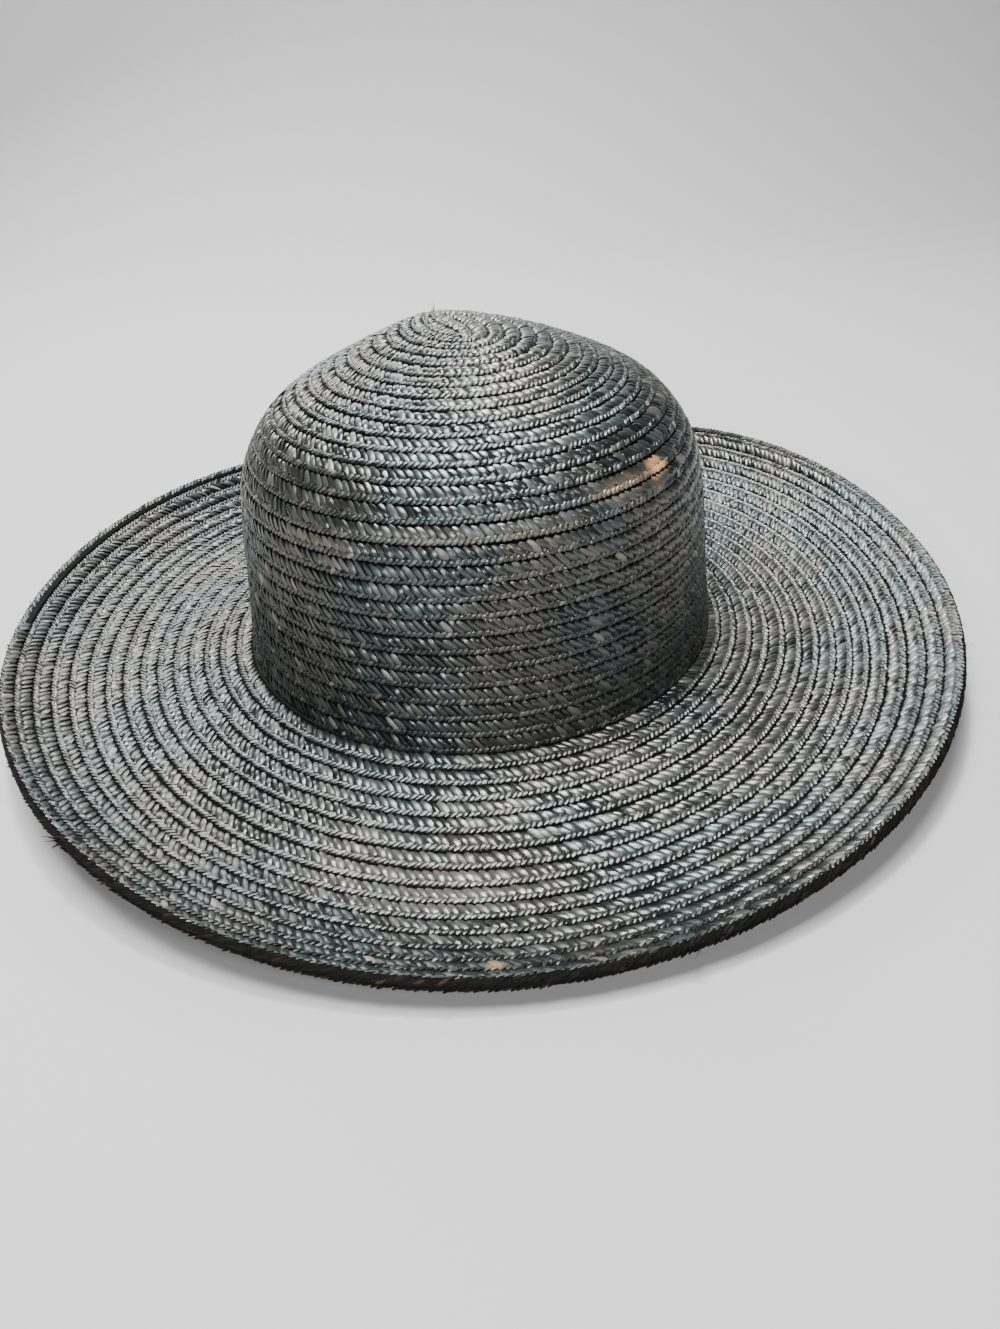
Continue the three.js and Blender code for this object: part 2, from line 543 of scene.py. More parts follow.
@dataclass(frozen=True)
class FadedSpot:
    """A worn or faded place on the hat, soft at its edge. Sizes are millimetres."""

    middle: Triple
    reach: Triple
    colour: Triple
    strength: float
    edge: tuple[float, float] = (1.35, 0.45)
    unevenness: float = 0.5

    def lay(
        self,
        wiring: Wiring,
        coords: Socket,
        under: Socket,
        tone: Socket,
        wear: float,
    ) -> Socket:
        """Mixes the spot over a colour.

        Args:
            wiring: the material's node tree.
            coords: object coordinates in metres.
            under: the colour under the spot.
            tone: the random tone of each leaf, which makes the spot uneven.
            wear: share of the spot's strength that this finish shows.

        Returns:
            The mixed colour.
        """
        inputs = {
            "Vector": coords,
            "Location": tuple(v * MM for v in self.middle),
            "Scale": tuple(v * MM for v in self.reach),
        }
        place = wiring.add("ShaderNodeMapping", "Vector", inputs, vector_type="TEXTURE")
        distance = wiring.add("ShaderNodeVectorMath", "Value", {0: place}, operation="LENGTH")
        uneven = wiring.calc("MULTIPLY_ADD", tone, self.unevenness, distance)
        result = (0.0, self.strength * wear)
        amount = wiring.remap(uneven, self.edge, result, interpolation_type="SMOOTHSTEP")
        return wiring.mix(amount, under, solid(self.colour))


FADED_SPOTS: tuple[FadedSpot, ...] = (
    FadedSpot((60.2, -52.7, 91.9), (7.0, 7.0, 4.2), (0.62, 0.34, 0.17), 0.9),
    FadedSpot((46.0, -66.0, 91.5), (17.0, 15.0, 3.6), (0.22, 0.17, 0.11), 0.6),
    FadedSpot((0.0, -84.0, 86.5), (44.0, 24.0, 3.6), (0.13, 0.115, 0.085), 0.5),
    FadedSpot((-50.0, -62.0, 82.0), (26.0, 30.0, 5.0), (0.1, 0.09, 0.07), 0.45),
    FadedSpot((-12.1, -144.5, 1.5), (26.0, 13.0, 8.0), (0.2, 0.165, 0.14), 0.4),
    FadedSpot((-40.0, -132.0, 3.0), (30.0, 18.0, 9.0), (0.12, 0.105, 0.09), 0.4),
    FadedSpot((0.4, -178.0, 6.1), (3.5, 4.0, 4.0), (0.34, 0.24, 0.15), 0.7),
)


@dataclass(frozen=True)
class StrawFinish:
    """Dyed straw with a satin sheen, each leaf a little different.

    The colours run from the darkest leaf to the palest; wear lightens parts of the hat.
    """

    name: str
    dark: Triple = (0.0035, 0.0048, 0.0042)
    middle: Triple = (0.013, 0.0165, 0.015)
    cool: Triple = (0.034, 0.041, 0.038)
    warm: Triple = (0.075, 0.071, 0.06)
    pale: Triple = (0.2, 0.185, 0.155)
    cool_sheen: Triple = (0.84, 0.96, 1.0)
    warm_sheen: Triple = (1.0, 0.95, 0.87)
    roughness: tuple[float, float] = (0.14, 0.4)
    density: float = 1.85
    specular: float = 0.5
    wear: float = 1.0
    stops: tuple[float, ...] = (0.0, 0.5, 0.9, 0.985, 1.0)
    fibre_stretch: Triple = (1.5, 26.0, 1.0)
    fibre_detail: float = 3.0
    grain_strength: float = 0.35
    grain_depth: float = 0.00012
    patch_scale: float = 26.0
    patch_detail: float = 2.0
    fade_reach: tuple[float, float] = (0.5, 0.72)
    fade_share: float = 0.3
    sheen_reach: tuple[float, float] = (0.42, 0.6)
    tone_share: float = 0.6
    rough_reach: tuple[float, float] = (0.3, 1.2)

    def material(self) -> bpy.types.Material:
        """Builds the material: a ramp by leaf, fibres along each leaf, and faded places.

        Returns:
            The finished material.
        """
        made, wiring, shader = new_material(self.name)
        tone = wiring.attribute("leaf_tone")
        coords = wiring.add("ShaderNodeTexCoord", "Object")
        fibre = self._fibre(wiring, coords)
        patch = wiring.noise(coords, self.patch_scale, self.patch_detail)
        fade = wiring.remap(patch, self.fade_reach, (0.0, self.fade_share * self.wear))
        colour = wiring.mix(fade, self._ramp(wiring, tone), solid(self.warm))
        for spot in FADED_SPOTS:
            colour = spot.lay(wiring, coords, colour, tone, self.wear)
        turn = wiring.remap(patch, self.sheen_reach)
        uneven = wiring.calc("MULTIPLY_ADD", tone, self.tone_share, fibre)
        inputs = {
            "Base Color": colour,
            "Roughness": wiring.remap(uneven, self.rough_reach, self.roughness),
            "IOR": self.density,
            "Specular IOR Level": self.specular,
            "Specular Tint": wiring.mix(turn, solid(self.cool_sheen), solid(self.warm_sheen)),
            "Normal": wiring.bump(fibre, self.grain_strength, self.grain_depth),
        }
        wiring.feed(shader, inputs)
        return made

    def _ramp(self, wiring: Wiring, tone: Socket) -> Socket:
        """Gives each leaf a colour by its tone.

        Args:
            wiring: the material's node tree.
            tone: the random tone of each leaf.

        Returns:
            The colour.
        """
        ramp = wiring.add("ShaderNodeValToRGB", "Color", {"Fac": tone})
        elements = ramp.node.color_ramp.elements
        colours = (self.dark, self.middle, self.cool, self.warm, self.pale)
        while len(elements) < len(colours):
            elements.new(0.5)
        for element, stop, colour in zip(elements, self.stops, colours):
            element.position = stop
            element.color = solid(colour)
        return ramp

    def _fibre(self, wiring: Wiring, coords: Socket) -> Socket:
        """Draws fine fibres along each leaf, different from leaf to leaf.

        Args:
            wiring: the material's node tree.
            coords: object coordinates in metres.

        Returns:
            The height of the fibres.
        """
        inputs = {"Vector": wiring.attribute("leaf_place", "Vector"), "Scale": self.fibre_stretch}
        stretched = wiring.add("ShaderNodeMapping", "Vector", inputs)
        terms = {0: stretched, 1: coords}
        place = wiring.add("ShaderNodeVectorMath", "Vector", terms, operation="ADD")
        return wiring.noise(place, 1.0, self.fibre_detail)


@dataclass(frozen=True)
class GrooveShadeFinish:
    """The straw of the shell under the leaves, near-black where it lies in a groove between the
    courses: painted shade, since little light falls there.
    """

    name: str
    # The first two colours are painted shade for the grooves; straw is the shell's own colour.
    colour: Triple = (0.0025, 0.003, 0.0028)
    lighter_shade: Triple = (0.006, 0.0065, 0.006)
    straw: Triple = (0.01, 0.013, 0.012)
    roughness: float = 0.6
    specular: float = 0.12
    grain_scale: float = 900.0
    grain_detail: float = 3.0
    grain_strength: float = 0.4
    grain_depth: float = 0.0002

    def material(self) -> bpy.types.Material:
        """Builds the material, with a fine fibre grain and painted shade in the grooves.

        Returns:
            The finished material.
        """
        made, wiring, shader = new_material(self.name)
        coords = wiring.add("ShaderNodeTexCoord", "Object")
        grain = wiring.noise(coords, self.grain_scale, self.grain_detail)
        shade_colour = wiring.mix(grain, solid(self.colour), solid(self.lighter_shade))
        inputs = {
            # Painted shade: the near-black colour is mixed in where the shell lies in a groove.
            "Base Color": wiring.mix(wiring.attribute("groove_painted_shade"), solid(self.straw), shade_colour),
            "Roughness": self.roughness,
            "Specular IOR Level": self.specular,
            "Normal": wiring.bump(grain, self.grain_strength, self.grain_depth),
        }
        wiring.feed(shader, inputs)
        return made


@dataclass
class BaseShell:
    """One part of the hat as a closed shell of stepped courses, under the straw leaves."""

    spiral: Spiral
    name: str
    first: float
    last: float
    steps_per_turn: int = 132
    # Share of painted shade across a course: full at its two edges, where the grooves lie, and none
    # in the middle.
    painted_shade: Pairs = ((0.0, 1.0), (0.1, 1.0), (0.2, 0.0), (0.93, 0.0), (1.0, 1.0))
    join_within: float = 0.00002
    drop_within: float = 0.00001

    def _face(self, side: Side, turns: Array) -> tuple[Array, Array]:
        """Sweeps one face of the plait's section along the spiral.

        Args:
            side: the face.
            turns: turns of the spiral at each step.

        Returns:
            A grid of points in metres, and the share of painted groove shade at each one.
        """
        spiral, section, shape = self.spiral, self.spiral.section, self.spiral.shape
        shares = np.array([row[0] for row in section.rows(side)] + [1.0])
        turns, across = np.meshgrid(turns, shares, indexing="ij")
        courses = np.clip(spiral.courses(turns, across), self.first, self.last)
        offset = section.height(side, across, courses)
        offset[:, -1] = section.height(side, across[:, 0], courses[:, -1])
        if self.first > 0:
            courses = np.where(courses == shape.crown_courses, courses + NUDGE, courses)
        grid = shape.place(courses, spiral.angle(turns), offset) * MM
        return grid, np.interp(across, *np.array(self.painted_shade).T)

    def build(self) -> Piece:
        """Makes both faces, cut off at the part's two ends, and joins them.

        Returns:
            The shell, without a finish.
        """
        count = int((self.last - self.first + 1) * self.steps_per_turn)
        turns = np.linspace(self.first, self.last + 1, count + 1)
        points, faces, painted_shades, base = [], [], [], 0
        for side in Side:
            grid, painted_shade = self._face(side, turns)
            index = np.arange(painted_shade.size).reshape(painted_shade.shape) + base
            quads = grid_faces(index)
            faces.append(quads if side is Side.WORN else quads[:, ::-1])
            points.append(grid.reshape(-1, 3))
            painted_shades.append(painted_shade.ravel())
            base += painted_shade.size
        made = mesh_object(self.name, np.concatenate(points), np.concatenate(faces))
        store(made.data, "groove_painted_shade", np.concatenate(painted_shades))
        self._weld(made)
        return made

    def _weld(self, made: Piece) -> None:
        """Joins points that lie on each other, and drops faces without area.

        Args:
            made: the shell, changed in place.
        """
        mesh = bmesh.new()
        mesh.from_mesh(made.data)
        bmesh.ops.remove_doubles(mesh, verts=mesh.verts, dist=self.join_within)
        bmesh.ops.dissolve_degenerate(mesh, edges=mesh.edges, dist=self.drop_within)
        mesh.to_mesh(made.data)
        mesh.free()
        made.data.shade_smooth()


@dataclass(frozen=True)
class LeafShape:
    """One straw leaf of the plait, a thin crowned blade one unit long and one wide."""

    rows: int = 5
    columns: int = 4
    crown: float = 0.46
    end_dip: float = 0.34
    taper: float = 0.45
    taper_power: float = 2.6
    dip_power: int = 3

    def build(self, name: str) -> Piece:
        """Makes the leaf's mesh, with its own coordinates stored as leaf_place.

        Args:
            name: the leaf's name.

        Returns:
            The leaf, which lies along X with its crown up.
        """
        steps = (np.linspace(-0.5, 0.5, count) for count in (self.rows, self.columns))
        along, across = np.meshgrid(*steps, indexing="ij")
        to_end = np.abs(2 * along)
        width = 1.0 - self.taper * to_end**self.taper_power
        height = self.crown * (1 - (2 * across) ** 2) - self.end_dip * to_end**self.dip_power
        points = np.stack([along, across * width, height], axis=-1).reshape(-1, 3)
        index = np.arange(along.size).reshape(along.shape)
        made = mesh_object(name, points, grid_faces(index)[:, [0, 3, 2, 1]])
        places = np.stack([along, across, along * 0], axis=-1)
        store(made.data, "leaf_place", places, is_vector=True)
        return made


@dataclass(frozen=True)
class Lane:
    """One row of leaves in the plait, on one face of it.

    Lengths are millimetres, and slants are degrees towards the outer edge.
    """

    across: float
    length: float
    width: float
    spacing: float
    slant: float
    lift: float
    tilt: float
    shape: LeafShape = LeafShape()
    seed: int = 1
    side: Side = Side.WORN

    @property
    def sign(self) -> float:
        """1 on the worn face and -1 on the other."""
        return 1.0 if self.side is Side.WORN else -1.0


class LeafRowTree:
    """The node tree that lays straw leaves along a path sewn on the hat."""

    NAME = "straw leaves along the plait"
    INPUTS = (
        ("Path", "Geometry", None),
        ("Leaf", "Object", None),
        ("Finish", "Material", None),
        ("Spacing", "Float", 0.003),
        ("Length", "Float", 0.005),
        ("Width", "Float", 0.0025),
        ("Thickness", "Float", 0.001),
        ("Slant", "Float", 0.8),
        ("Tilt", "Float", 0.1),
        ("Unevenness", "Float", 1.0),
        ("Seed", "Int", 1),
    )
    # How far each value differs from leaf to leaf, and what is added to the seed for it.
    SPREADS = {
        "Slant": (0.16, 11),
        "Tilt": (0.22, 23),
        "Nod": (0.11, 31),
        "Length": (0.1, 41),
        "Width": (0.14, 43),
        "Thickness": (0.3, 47),
    }
    TONE_SALT = 3

    def __init__(self) -> None:
        """Builds the tree once, with its named inputs."""
        self.tree = bpy.data.node_groups.new(self.NAME, "GeometryNodeTree")
        self.wiring = Wiring(self.tree)
        self.ids: dict[str, str] = {}
        sockets = self.tree.interface
        for name, kind, default in self.INPUTS:
            made = sockets.new_socket(name, in_out="INPUT", socket_type="NodeSocket" + kind)
            if default is not None:
                made.default_value = default
            self.ids[name] = made.identifier
        sockets.new_socket("Leaves", in_out="OUTPUT", socket_type="NodeSocketGeometry")
        self.given = self.tree.nodes.new("NodeGroupInput")
        result = self.tree.nodes.new("NodeGroupOutput")
        self.wiring.feed(result, {"Leaves": self._leaves()})

    def _leaves(self) -> Socket:
        """Lays a leaf at each point of an even row, with its own tone and the finish.

        Returns:
            The leaves as real geometry.
        """
        add, given = self.wiring.add, self.given.outputs
        curve = add("GeometryNodeMeshToCurve", "Curve", {"Mesh": given["Path"]})
        inputs = {"Curve": curve, "Length": given["Spacing"]}
        even = add("GeometryNodeResampleCurve", "Curve", inputs, mode="LENGTH")
        points = add("GeometryNodeCurveToPoints", "Points", {"Curve": even}, mode="EVALUATED")
        inputs = {"Object": given["Leaf"]}
        leaf = add("GeometryNodeObjectInfo", "Geometry", inputs, transform_space="ORIGINAL")
        inputs = {"Points": points, "Instance": leaf}
        inputs |= {"Rotation": self._turn(), "Scale": self._size()}
        leaves = add("GeometryNodeInstanceOnPoints", "Instances", inputs)
        tone = self._random(0.0, 1.0, self.TONE_SALT)
        leaves = add(
            "GeometryNodeStoreNamedAttribute",
            "Geometry",
            {"Geometry": leaves, "Name": "leaf_tone", "Value": tone},
            data_type="FLOAT",
            domain="INSTANCE",
        )
        leaves = add("GeometryNodeRealizeInstances", "Geometry", {"Geometry": leaves})
        inputs = {"Geometry": leaves, "Material": given["Finish"]}
        return add("GeometryNodeSetMaterial", "Geometry", inputs)

    def _turn(self) -> Socket:
        """Turns each leaf along the plait, then slants and tilts it.

        Returns:
            The turn of each leaf.
        """
        add, given = self.wiring.add, self.given.outputs
        turned = add(
            "FunctionNodeAxesToRotation",
            "Rotation",
            {
                "Primary Axis": self._attribute("out_way", "FLOAT_VECTOR"),
                "Secondary Axis": self._attribute("run_way", "FLOAT_VECTOR"),
            },
            primary_axis="Z",
            secondary_axis="X",
        )
        spin = {"Z": self._varied("Slant", given["Slant"])}
        lean = {"X": self._varied("Tilt", given["Tilt"]), "Y": self._varied("Nod", 0.0)}
        for angles in (spin, lean):
            euler = {"Euler": add("ShaderNodeCombineXYZ", "Vector", angles)}
            by = add("FunctionNodeEulerToRotation", "Rotation", euler)
            inputs = {"Rotation": turned, "Rotate By": by}
            turned = add("FunctionNodeRotateRotation", "Rotation", inputs, rotation_space="LOCAL")
        return turned

    def _size(self) -> Socket:
        """Sizes each leaf, shorter where the courses lie closer.

        Returns:
            The length, width and thickness of each leaf.
        """
        pitch = self._attribute("pitch_share", "FLOAT")
        length = self.wiring.calc("MULTIPLY", self._scaled("Length"), pitch)
        sizes = {"X": length, "Y": self._scaled("Width"), "Z": self._scaled("Thickness")}
        return self.wiring.add("ShaderNodeCombineXYZ", "Vector", sizes)

    def _attribute(self, name: str, kind: str) -> Socket:
        """Reads an attribute of the path."""
        node = "GeometryNodeInputNamedAttribute"
        return self.wiring.add(node, "Attribute", {"Name": name}, data_type=kind)

    def _random(self, low: float, high: float, salt: int) -> Socket:
        """Draws a random value for each leaf.

        Args:
            low: the least value.
            high: the greatest value.
            salt: what is added to the tree's seed.

        Returns:
            The value.
        """
        seed = self.wiring.calc("ADD", self.given.outputs["Seed"], salt)
        inputs = {2: low, 3: high, "Seed": seed}
        return self.wiring.add("FunctionNodeRandomValue", 1, inputs, data_type="FLOAT")

    def _varied(self, name: str, middle: Any) -> Socket:
        """Varies a value by up to its spread times the unevenness.

        Args:
            name: the value's name among the spreads.
            middle: the value without its spread.

        Returns:
            The varied value.
        """
        spread, salt = self.SPREADS[name]
        share = self._random(-spread, spread, salt)
        return self.wiring.calc("MULTIPLY_ADD", share, self.given.outputs["Unevenness"], middle)

    def _scaled(self, name: str) -> Socket:
        """Varies a size by up to a share of it.

        Args:
            name: the name of the size's input.

        Returns:
            The varied size.
        """
        spread, salt = self.SPREADS[name]
        share = self._random(1 - spread, 1 + spread, salt)
        return self.wiring.calc("MULTIPLY", self.given.outputs[name], share)


@dataclass
class PathLine:
    """A line that leaves are laid along, with the ways out of the face and along the plait."""

    middle: Array
    out_way: Array
    run_way: Array
    pitch: Array

    def build(self, name: str) -> Piece:
        """Makes the line as a mesh of edges that carries the ways as attributes.

        Args:
            name: the name of the object.

        Returns:
            The line as an object.
        """
        mesh = bpy.data.meshes.new(name + "_path")
        edges = [(i, i + 1) for i in range(len(self.middle) - 1)]
        mesh.from_pydata([tuple(point) for point in self.middle * MM], edges, [])
        store(mesh, "out_way", self.out_way, is_vector=True)
        store(mesh, "run_way", self.run_way, is_vector=True)
        store(mesh, "pitch_share", self.pitch)
        return add_object(name, mesh)


@dataclass
class LeafRow:
    """All leaves of one lane over one part of the hat."""

    END_GAP = 0.03  # courses left free at the part's ends
    RIM_GAP = 0.3  # and at the rim
    REACH = 0.12  # courses to each side, over which the face's slope is taken
    FULL_PITCH = 6.0  # millimetres from course to course for a leaf of full length
    PITCH_LIMITS = (0.45, 1.15)
    LOWEST = 0.00005  # metres above the surface that the hat rests on

    spiral: Spiral
    tree: LeafRowTree
    name: str
    lane: Lane
    first: float
    last: float
    steps_per_turn: int = 120

    def _line(self) -> PathLine:
        """Follows the lane along the spiral, cut off at the part's two ends.

        Returns:
            The line that the leaves lie along.
        """
        spiral, section, shape = self.spiral, self.spiral.section, self.spiral.shape
        lane, across = self.lane, self.lane.across
        start, stop = self.first + 1 - across, self.last + 1 - across
        turns = np.arange(start, stop, 1.0 / self.steps_per_turn)
        courses = spiral.courses(turns, np.full_like(turns, across))
        last_gap = self.RIM_GAP if self.last > shape.crown_courses else self.END_GAP
        keep = (courses > self.first + self.END_GAP) & (courses < self.last - last_gap)
        turns, courses = turns[keep], courses[keep]
        angle = spiral.angle(turns)
        height = [
            section.height(lane.side, np.full_like(turns, across + step), courses + step)
            for step in (-self.REACH, 0.0, self.REACH)
        ]
        middle = shape.place(courses, angle, height[1] + lane.sign * lane.lift)
        low = np.clip(courses - self.REACH, self.first, self.last)
        high = np.clip(courses + self.REACH, self.first, self.last)
        if self.first >= shape.crown_courses:
            low = np.maximum(low, shape.crown_courses + NUDGE)
        inner = shape.place(low, angle, height[0])
        outer = shape.place(high, angle, height[2])
        run_way = unit(np.gradient(middle, axis=0))
        out_way = unit(np.cross(run_way, unit(outer - inner)))
        facing = np.sign((out_way * shape.normal(courses, angle)).sum(-1, keepdims=True))
        pitch = np.linalg.norm(outer - inner, axis=-1) / (high - low)
        share = np.clip(pitch / self.FULL_PITCH, *self.PITCH_LIMITS)
        return PathLine(middle, out_way * facing * lane.sign, run_way, share)

    def build(self, finish: bpy.types.Material) -> Piece:
        """Runs the tree along the path and keeps the result as a plain mesh.

        Args:
            finish: the material of the leaves.

        Returns:
            The leaves as one object.
        """
        lane = self.lane
        made = self._line().build(self.name)
        leaf = lane.shape.build("one_leaf")
        modifier = made.modifiers.new("leaves", "NODES")
        modifier.node_group = self.tree.tree
        values = {
            "Leaf": leaf,
            "Finish": finish,
            "Spacing": lane.spacing * MM,
            "Length": lane.length * MM,
            "Width": lane.width * MM,
            "Thickness": MM,
            "Slant": math.radians(lane.sign * lane.slant),
            "Tilt": math.radians(lane.tilt),
            "Unevenness": 1.0,
            "Seed": lane.seed,
        }
        for name, value in values.items():
            modifier[self.tree.ids[name]] = value
        bpy.context.view_layer.update()
        graph = bpy.context.evaluated_depsgraph_get()
        mesh = bpy.data.meshes.new_from_object(
            made.evaluated_get(graph), preserve_all_data_layers=True, depsgraph=graph
        )
        made.modifiers.remove(modifier)
        made.data = mesh
        mesh.name = self.name
        bpy.data.objects.remove(leaf)
        points = np.empty(len(mesh.vertices) * 3, np.float32)
        mesh.vertices.foreach_get("co", points)
        points[2::3] = np.maximum(points[2::3], self.LOWEST)
        mesh.vertices.foreach_set("co", points)
        mesh.shade_smooth()
        mesh.update()
        return made


FINE_LEAF = LeafShape(rows=4, columns=3, crown=0.34, end_dip=0.22)
RIM_LEAF = LeafShape(rows=4, columns=3, crown=0.3, end_dip=0.2, taper=0.6)
WIDE_LANE = Lane(
    across=0.4, length=5.2, width=2.6, spacing=2.8, slant=138.0, lift=0.18, tilt=15.0, seed=5
)
FINE_LANE = Lane(
    across=0.8, length=2.9, width=1.5, spacing=1.9, slant=40.0, lift=0.22, tilt=11.0,
    shape=FINE_LEAF, seed=9,
)
WIDE_UNDER = Lane(
    across=0.63, length=5.5, width=2.7, spacing=3.1, slant=131.0, lift=0.1, tilt=13.0, seed=15,
    side=Side.LINING,
)
FINE_UNDER = Lane(
    across=0.2, length=3.4, width=1.45, spacing=2.0, slant=36.0, lift=0.15, tilt=10.0,
    shape=FINE_LEAF, seed=19, side=Side.LINING,
)
RIM_FACE = Lane(
    across=0.0, length=3.6, width=1.3, spacing=2.1, slant=33.0, lift=0.0, tilt=9.0, shape=RIM_LEAF
)
RIM_UNDER = replace(RIM_FACE, side=Side.LINING)
RIM_STRAND = Lane(
    across=0.0, length=4.0, width=1.1, spacing=1.9, slant=24.0, lift=0.0, tilt=9.0, shape=RIM_LEAF
)


@dataclass
class RimRow(LeafRow):
    """A closed row of leaves round the rim, lying on its face or along its edge."""

    courses: float = 43.8
    offset: float = 0.1
    on_edge: bool = False
    steps: int = 360

    def _line(self) -> PathLine:
        """Goes once round the hat at one distance from the rim.

        Returns:
            The line that the leaves lie along.
        """
        shape = self.spiral.shape
        angle = np.linspace(0, -2 * np.pi, self.steps + 1)
        courses = np.full_like(angle, self.courses)
        middle = shape.place(courses, angle, np.full_like(angle, self.offset))
        ring = middle[:-1]
        run_way = unit(np.roll(ring, -1, axis=0) - np.roll(ring, 1, axis=0))
        run_way = np.concatenate([run_way, run_way[:1]])
        out_way = shape.normal(courses, angle)
        if self.on_edge:
            out_way = np.cross(out_way, run_way)
            out_way = out_way * np.sign((out_way * (middle - shape.foot)).sum(-1, keepdims=True))
        else:
            out_way = out_way * self.lane.sign
        return PathLine(middle, out_way, run_way, np.ones_like(angle))


@dataclass(frozen=True)
class Tuft:
    """Frayed straw ends at one place: how many, how long, and which way they lean."""

    turns: float
    courses: float
    offset: float
    count: int
    length: float
    lean: Triple
    spread: float = 0.5


@dataclass
class FrayedEnds:
    """Loose straw ends that stand off the hat, as narrow bent blades in one mesh.

    Width, lowest and the tufts' lengths are millimetres. Scatter, and the side step that finds
    the way around, are radians round the hat. Facing says how far a blade's face is turned up
    and around. Length shares are the least length and what is added to it at random.
    """

    spiral: Spiral
    name: str
    tufts: list[Tuft]
    width: float = 0.55
    steps: int = 4
    seed: int = 3
    scatter: float = 0.006
    side_step: float = 0.01
    bend: float = 0.3
    facing: tuple[float, float] = (0.8, 0.6)
    length_shares: tuple[float, float] = (0.6, 0.6)
    taper: float = 0.75
    ridge_share: float = 0.25
    lowest: float = 0.1

    def build(self, finish: bpy.types.Material) -> Piece:
        """Makes every blade of every tuft.

        Args:
            finish: the material of the blades.

        Returns:
            The blades as one object.
        """
        dice = np.random.default_rng(self.seed)
        rows = range(self.steps + 1)
        blade_places = [(i / self.steps, j / 2 - 0.5, 0.0) for i in rows for j in range(3)]
        points, faces, tones, places = [], [], [], []
        for tuft in self.tufts:
            for _ in range(tuft.count):
                first = len(points)
                points.extend(self._blade(tuft, dice))
                for a in range(first, first + 3 * self.steps, 3):
                    faces.append((a, a + 1, a + 4, a + 3))
                    faces.append((a + 1, a + 2, a + 5, a + 4))
                tones.extend([dice.random()] * len(blade_places))
                places.extend(blade_places)
        made = mesh_object(self.name, np.array(points) * MM, faces)
        store(made.data, "leaf_tone", np.array(tones))
        store(made.data, "leaf_place", np.array(places), is_vector=True)
        made.data.materials.append(finish)
        return made

    def _blade(self, tuft: Tuft, dice: np.random.Generator) -> list[Array]:
        """Bends one blade at random.

        Args:
            tuft: the tuft that it belongs to.
            dice: where the random numbers come from.

        Returns:
            Its points in millimetres, three to a row.
        """
        shape = self.spiral.shape
        turn = 2 * np.pi * tuft.turns + dice.normal(0, self.scatter)
        courses, angle, offset = (np.array([v]) for v in (tuft.courses, turn, tuft.offset))
        root = shape.place(courses, angle, offset)[0]
        up = shape.normal(courses, angle)[0]
        beside = shape.place(courses, angle + self.side_step, offset)[0]
        around = unit(beside - root)
        outward = np.cross(around, up)
        outward = outward * (1.0 if (outward * (root - shape.foot)).sum() > 0 else -1.0)
        lean = np.array(tuft.lean) + dice.normal(0, tuft.spread, 3)
        way = unit(lean[0] * outward + lean[1] * up + lean[2] * around)
        aside = unit(np.cross(way, up * self.facing[0] + around * self.facing[1]))
        bend = np.cross(way, aside) * dice.normal(0, self.bend) + aside * dice.normal(0, self.bend)
        length = tuft.length * (self.length_shares[0] + self.length_shares[1] * dice.random())
        rows = []
        for share in np.arange(self.steps + 1) / self.steps:
            middle = root + (way * share + bend * share * share) * length
            half = aside * self.width * 0.5 * (1 - self.taper * share)
            ridge = np.cross(aside, way) * self.width * self.ridge_share * (1 - share)
            rows.extend([middle - half, middle + ridge, middle + half])
        for row in rows:
            row[2] = max(row[2], self.lowest)
        return rows


@dataclass
class Part:
    """A part of the hat, with the way it is sewn and the tree that lays its leaves."""

    spiral: Spiral
    tree: LeafRowTree

    def _sewn(
        self, name: str, first: float, last: float, lanes: dict[str, Lane]
    ) -> tuple[list[Piece], bpy.types.Material]:
        """Makes a part's shell and the leaves on its two faces.

        Args:
            name: the part's name.
            first: the course that it starts at.
            last: the course that it ends at.
            lanes: the lane for each kind of leaves.

        Returns:
            The shell and the rows of leaves, and the finish of the leaves.
        """
        leaves = StrawFinish(f"{name}_straw_leaves").material()
        shell = BaseShell(self.spiral, f"{name}_shell", first, last).build()
        shell.data.materials.append(GrooveShadeFinish(f"{name}_groove").material())
        pieces = [shell]
        for kind, lane in lanes.items():
            row = LeafRow(self.spiral, self.tree, f"{name}_{kind}_leaves", lane, first, last)
            pieces.append(row.build(leaves))
        return pieces, leaves


class Crown(Part):
    """The domed head part."""

    def build(self) -> list[Piece]:
        """Makes the crown's shell, its leaves and the loose ends at its tip.

        Returns:
            The pieces, the shell first.
        """
        last = float(self.spiral.shape.crown_courses)
        lanes = {"wide": WIDE_LANE, "fine": FINE_LANE, "inner_wide": WIDE_UNDER}
        pieces, leaves = self._sewn("crown", 0.0, last, lanes)
        tufts = [
            Tuft(0.545, 1.3, 0.2, 6, 3.6, (0.5, 1.0, -0.3), 0.25),
            Tuft(0.62, 2.6, 0.2, 2, 2.0, (0.6, 1.0, 0.0)),
            Tuft(0.47, 2.2, 0.2, 2, 1.8, (0.6, 1.0, 0.0)),
        ]
        pieces.append(FrayedEnds(self.spiral, "crown_frayed_ends", tufts).build(leaves))
        for piece in pieces:
            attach(piece, "root")
        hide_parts("crown")
        return pieces


class Brim(Part):
    """The rolled brim, from the crown's foot to the rim."""

    def build(self) -> list[Piece]:
        """Makes the brim's shell and its leaves.

        Returns:
            The pieces, the shell first.
        """
        first = float(self.spiral.shape.crown_courses)
        last = first + self.spiral.shape.brim_courses
        lanes = {"wide": WIDE_LANE, "fine": FINE_LANE}
        lanes |= {"under_wide": WIDE_UNDER, "under_fine": FINE_UNDER}
        pieces, _ = self._sewn("brim", first, last, lanes)
        for piece in pieces:
            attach(piece, "root")
        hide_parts("brim")
        return pieces


